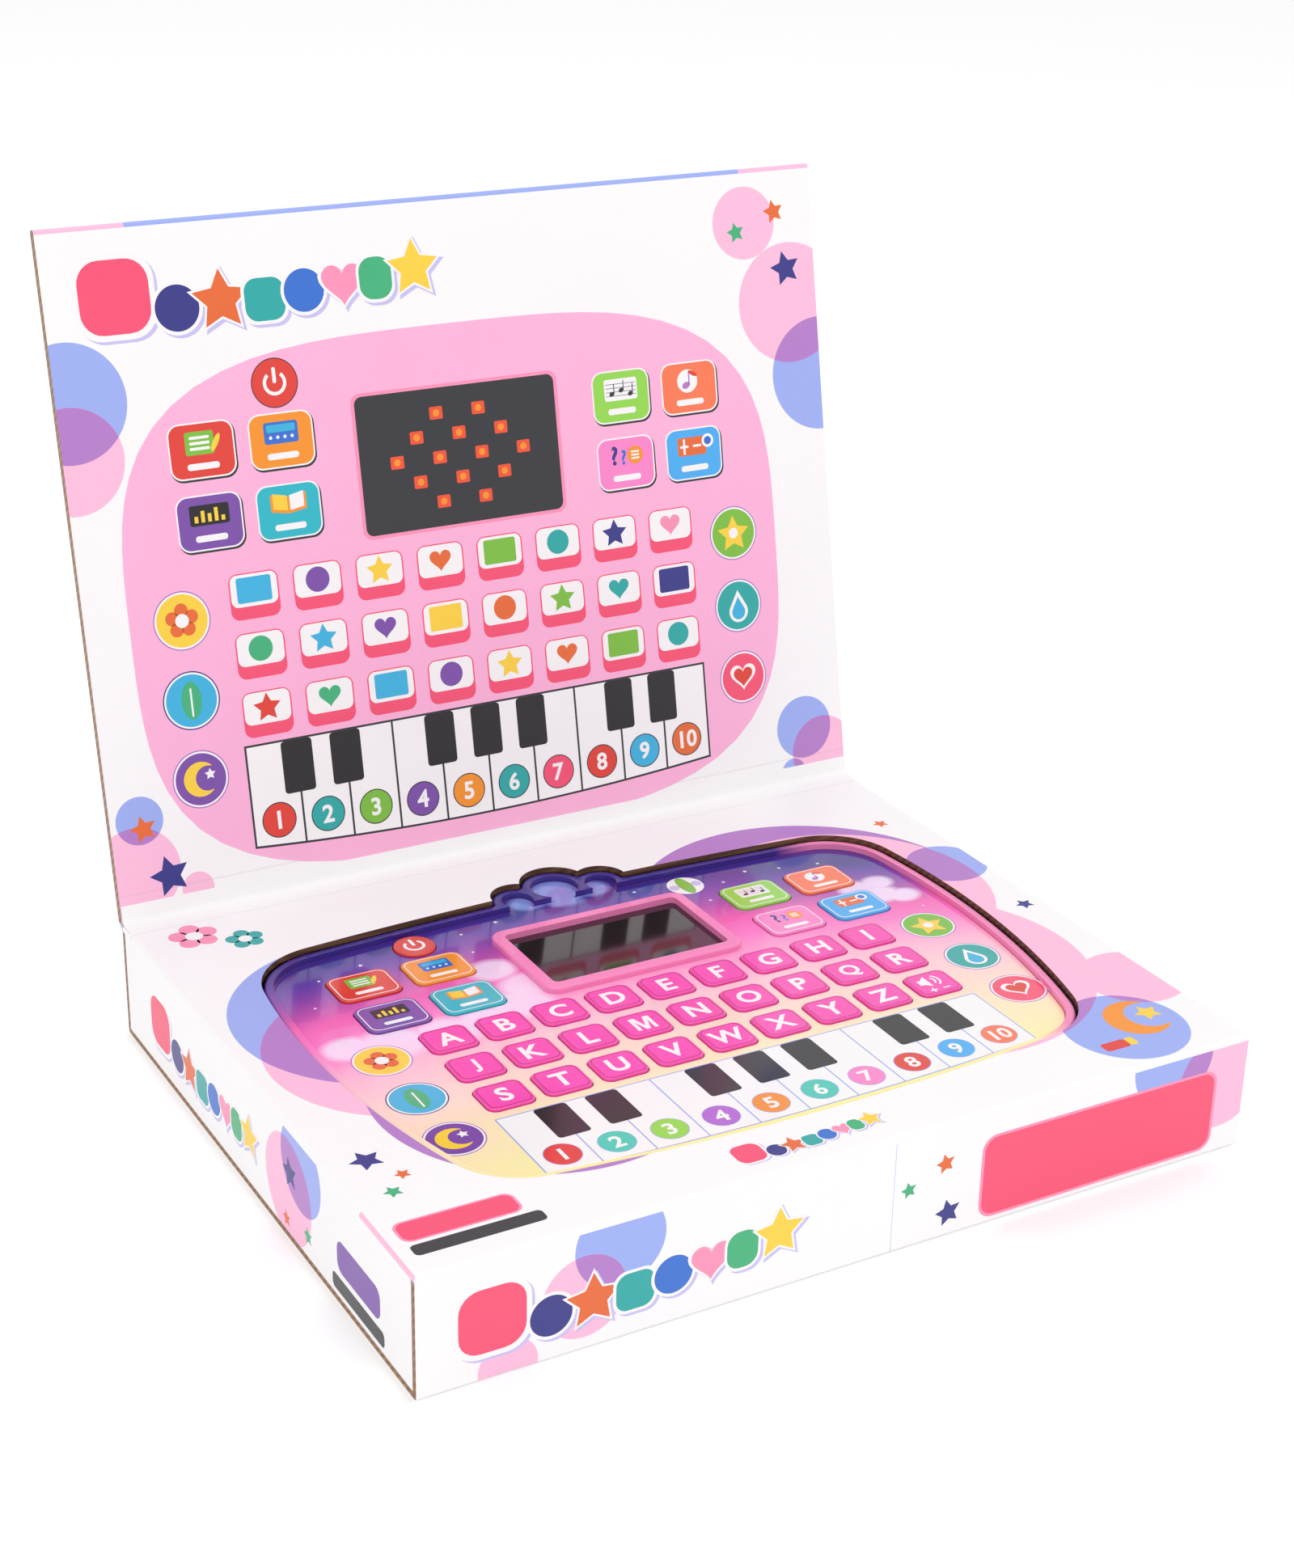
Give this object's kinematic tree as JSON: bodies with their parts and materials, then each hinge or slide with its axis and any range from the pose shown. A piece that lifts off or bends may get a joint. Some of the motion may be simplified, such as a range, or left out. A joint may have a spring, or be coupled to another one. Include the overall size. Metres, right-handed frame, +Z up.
{
  "type": "toy laptop computer",
  "caption": "Flat electronic learning computer with letter keys, mode buttons and a small screen, lying in a board display carton whose printed lid opens like a laptop screen.",
  "frame": {"origin": "centre of the carton's underside", "axes": "+Z up, +X to the right as a user sits at the keys, +Y to the back, towards the lid's crease"},
  "size_m": [0.28, 0.2723, 0.2561],
  "materials": {
    "printed_board": "gloss printed corrugated board",
    "plain_board": "brown corrugated board",
    "shell_pink": "moulded pink plastic",
    "face_film": "glossy printed film",
    "frame_pink": "moulded pink plastic",
    "dark_window": "dark tinted window",
    "circuit": "green circuit board",
    "lamp": "red lamp",
    "grey_rubber": "grey rubber",
    "black_parts": "black components",
    "speaker_steel": "pressed steel",
    "speaker_paper": "pressed paper cone",
    "battery_jacket": "printed cell jacket",
    "contact_metal": "plated steel",
    "key_pink": "moulded pink key",
    "mode_red": "moulded button",
    "mode_orange": "moulded button",
    "mode_purple": "moulded button",
    "mode_turquoise": "moulded button",
    "mode_green": "moulded button",
    "mode_coral": "moulded button",
    "mode_pink": "moulded button",
    "mode_blue": "moulded button",
    "power_red": "moulded button"
  },
  "bodies": {
    "carton": {"carton_sleeve": "printed_board", "window_panel": "printed_board", "left_end_closure": "printed_board", "right_end_closure": "printed_board", "toy_fitment": "plain_board"},
    "lid": {"lid_inner_board": "printed_board", "lid_outer_board": "printed_board"},
    "computer": {"top_shell": "shell_pink", "bottom_shell": "shell_pink", "face_film": "face_film", "screen_bezel": "frame_pink", "screen_window": "dark_window", "led_board": "circuit", "led_lamps": "lamp", "key_mat": "grey_rubber", "main_board": "circuit", "board_components": "black_parts", "speaker_driver": "speaker_steel", "speaker_cone": "speaker_paper", "battery_door": "shell_pink", "batteries": "battery_jacket", "battery_contacts": "contact_metal", "screws": "contact_metal", "rubber_feet": "grey_rubber"},
    "key_a": {"key_a": "key_pink"},
    "key_b": {"key_b": "key_pink"},
    "key_c": {"key_c": "key_pink"},
    "key_d": {"key_d": "key_pink"},
    "key_e": {"key_e": "key_pink"},
    "key_f": {"key_f": "key_pink"},
    "key_g": {"key_g": "key_pink"},
    "key_h": {"key_h": "key_pink"},
    "key_i": {"key_i": "key_pink"},
    "key_j": {"key_j": "key_pink"},
    "key_k": {"key_k": "key_pink"},
    "key_l": {"key_l": "key_pink"},
    "key_m": {"key_m": "key_pink"},
    "key_n": {"key_n": "key_pink"},
    "key_o": {"key_o": "key_pink"},
    "key_p": {"key_p": "key_pink"},
    "key_q": {"key_q": "key_pink"},
    "key_r": {"key_r": "key_pink"},
    "key_s": {"key_s": "key_pink"},
    "key_t": {"key_t": "key_pink"},
    "key_u": {"key_u": "key_pink"},
    "key_v": {"key_v": "key_pink"},
    "key_w": {"key_w": "key_pink"},
    "key_x": {"key_x": "key_pink"},
    "key_y": {"key_y": "key_pink"},
    "key_z": {"key_z": "key_pink"},
    "key_volume": {"key_volume": "key_pink"},
    "button_letters": {"button_letters": "mode_red"},
    "button_words": {"button_words": "mode_orange"},
    "button_spell": {"button_spell": "mode_purple"},
    "button_read": {"button_read": "mode_turquoise"},
    "button_song": {"button_song": "mode_green"},
    "button_music": {"button_music": "mode_coral"},
    "button_quiz": {"button_quiz": "mode_pink"},
    "button_sums": {"button_sums": "mode_blue"},
    "button_power": {"button_power": "power_red"}
  },
  "joints": [
    {"name": "carton_lid_hinge", "type": "hinge", "parent": "carton", "child": "lid", "pos_m": [0, 0.1125, 0.0393], "axis": [-1, 0, 0], "range_deg": [-101.5, 78]},
    {"name": "computer_lift", "type": "slide", "parent": "carton", "child": "computer", "axis": [0, 0, 1], "range_m": [0, 0.07]},
    {"name": "press_a", "type": "slide", "parent": "computer", "child": "key_a", "axis": [0, 0, 1], "range_m": [-0.0007, 0], "stiffness_N_per_m": 150, "springref_m": 0.0007},
    {"name": "press_b", "type": "slide", "parent": "computer", "child": "key_b", "axis": [0, 0, 1], "range_m": [-0.0007, 0], "stiffness_N_per_m": 150, "springref_m": 0.0007},
    {"name": "press_c", "type": "slide", "parent": "computer", "child": "key_c", "axis": [0, 0, 1], "range_m": [-0.0007, 0], "stiffness_N_per_m": 150, "springref_m": 0.0007},
    {"name": "press_d", "type": "slide", "parent": "computer", "child": "key_d", "axis": [0, 0, 1], "range_m": [-0.0007, 0], "stiffness_N_per_m": 150, "springref_m": 0.0007},
    {"name": "press_e", "type": "slide", "parent": "computer", "child": "key_e", "axis": [0, 0, 1], "range_m": [-0.0007, 0], "stiffness_N_per_m": 150, "springref_m": 0.0007},
    {"name": "press_f", "type": "slide", "parent": "computer", "child": "key_f", "axis": [0, 0, 1], "range_m": [-0.0007, 0], "stiffness_N_per_m": 150, "springref_m": 0.0007},
    {"name": "press_g", "type": "slide", "parent": "computer", "child": "key_g", "axis": [0, 0, 1], "range_m": [-0.0007, 0], "stiffness_N_per_m": 150, "springref_m": 0.0007},
    {"name": "press_h", "type": "slide", "parent": "computer", "child": "key_h", "axis": [0, 0, 1], "range_m": [-0.0007, 0], "stiffness_N_per_m": 150, "springref_m": 0.0007},
    {"name": "press_i", "type": "slide", "parent": "computer", "child": "key_i", "axis": [0, 0, 1], "range_m": [-0.0007, 0], "stiffness_N_per_m": 150, "springref_m": 0.0007},
    {"name": "press_j", "type": "slide", "parent": "computer", "child": "key_j", "axis": [0, 0, 1], "range_m": [-0.0007, 0], "stiffness_N_per_m": 150, "springref_m": 0.0007},
    {"name": "press_k", "type": "slide", "parent": "computer", "child": "key_k", "axis": [0, 0, 1], "range_m": [-0.0007, 0], "stiffness_N_per_m": 150, "springref_m": 0.0007},
    {"name": "press_l", "type": "slide", "parent": "computer", "child": "key_l", "axis": [0, 0, 1], "range_m": [-0.0007, 0], "stiffness_N_per_m": 150, "springref_m": 0.0007},
    {"name": "press_m", "type": "slide", "parent": "computer", "child": "key_m", "axis": [0, 0, 1], "range_m": [-0.0007, 0], "stiffness_N_per_m": 150, "springref_m": 0.0007},
    {"name": "press_n", "type": "slide", "parent": "computer", "child": "key_n", "axis": [0, 0, 1], "range_m": [-0.0007, 0], "stiffness_N_per_m": 150, "springref_m": 0.0007},
    {"name": "press_o", "type": "slide", "parent": "computer", "child": "key_o", "axis": [0, 0, 1], "range_m": [-0.0007, 0], "stiffness_N_per_m": 150, "springref_m": 0.0007},
    {"name": "press_p", "type": "slide", "parent": "computer", "child": "key_p", "axis": [0, 0, 1], "range_m": [-0.0007, 0], "stiffness_N_per_m": 150, "springref_m": 0.0007},
    {"name": "press_q", "type": "slide", "parent": "computer", "child": "key_q", "axis": [0, 0, 1], "range_m": [-0.0007, 0], "stiffness_N_per_m": 150, "springref_m": 0.0007},
    {"name": "press_r", "type": "slide", "parent": "computer", "child": "key_r", "axis": [0, 0, 1], "range_m": [-0.0007, 0], "stiffness_N_per_m": 150, "springref_m": 0.0007},
    {"name": "press_s", "type": "slide", "parent": "computer", "child": "key_s", "axis": [0, 0, 1], "range_m": [-0.0007, 0], "stiffness_N_per_m": 150, "springref_m": 0.0007},
    {"name": "press_t", "type": "slide", "parent": "computer", "child": "key_t", "axis": [0, 0, 1], "range_m": [-0.0007, 0], "stiffness_N_per_m": 150, "springref_m": 0.0007},
    {"name": "press_u", "type": "slide", "parent": "computer", "child": "key_u", "axis": [0, 0, 1], "range_m": [-0.0007, 0], "stiffness_N_per_m": 150, "springref_m": 0.0007},
    {"name": "press_v", "type": "slide", "parent": "computer", "child": "key_v", "axis": [0, 0, 1], "range_m": [-0.0007, 0], "stiffness_N_per_m": 150, "springref_m": 0.0007},
    {"name": "press_w", "type": "slide", "parent": "computer", "child": "key_w", "axis": [0, 0, 1], "range_m": [-0.0007, 0], "stiffness_N_per_m": 150, "springref_m": 0.0007},
    {"name": "press_x", "type": "slide", "parent": "computer", "child": "key_x", "axis": [0, 0, 1], "range_m": [-0.0007, 0], "stiffness_N_per_m": 150, "springref_m": 0.0007},
    {"name": "press_y", "type": "slide", "parent": "computer", "child": "key_y", "axis": [0, 0, 1], "range_m": [-0.0007, 0], "stiffness_N_per_m": 150, "springref_m": 0.0007},
    {"name": "press_z", "type": "slide", "parent": "computer", "child": "key_z", "axis": [0, 0, 1], "range_m": [-0.0007, 0], "stiffness_N_per_m": 150, "springref_m": 0.0007},
    {"name": "press_volume", "type": "slide", "parent": "computer", "child": "key_volume", "axis": [0, 0, 1], "range_m": [-0.0007, 0], "stiffness_N_per_m": 150, "springref_m": 0.0007},
    {"name": "press_letters", "type": "slide", "parent": "computer", "child": "button_letters", "axis": [0, 0, 1], "range_m": [-0.0007, 0], "stiffness_N_per_m": 150, "springref_m": 0.0007},
    {"name": "press_words", "type": "slide", "parent": "computer", "child": "button_words", "axis": [0, 0, 1], "range_m": [-0.0007, 0], "stiffness_N_per_m": 150, "springref_m": 0.0007},
    {"name": "press_spell", "type": "slide", "parent": "computer", "child": "button_spell", "axis": [0, 0, 1], "range_m": [-0.0007, 0], "stiffness_N_per_m": 150, "springref_m": 0.0007},
    {"name": "press_read", "type": "slide", "parent": "computer", "child": "button_read", "axis": [0, 0, 1], "range_m": [-0.0007, 0], "stiffness_N_per_m": 150, "springref_m": 0.0007},
    {"name": "press_song", "type": "slide", "parent": "computer", "child": "button_song", "axis": [0, 0, 1], "range_m": [-0.0007, 0], "stiffness_N_per_m": 150, "springref_m": 0.0007},
    {"name": "press_music", "type": "slide", "parent": "computer", "child": "button_music", "axis": [0, 0, 1], "range_m": [-0.0007, 0], "stiffness_N_per_m": 150, "springref_m": 0.0007},
    {"name": "press_quiz", "type": "slide", "parent": "computer", "child": "button_quiz", "axis": [0, 0, 1], "range_m": [-0.0007, 0], "stiffness_N_per_m": 150, "springref_m": 0.0007},
    {"name": "press_sums", "type": "slide", "parent": "computer", "child": "button_sums", "axis": [0, 0, 1], "range_m": [-0.0007, 0], "stiffness_N_per_m": 150, "springref_m": 0.0007},
    {"name": "press_power", "type": "slide", "parent": "computer", "child": "button_power", "axis": [0, 0, 1], "range_m": [-0.0007, 0], "stiffness_N_per_m": 150, "springref_m": 0.0007}
  ]
}
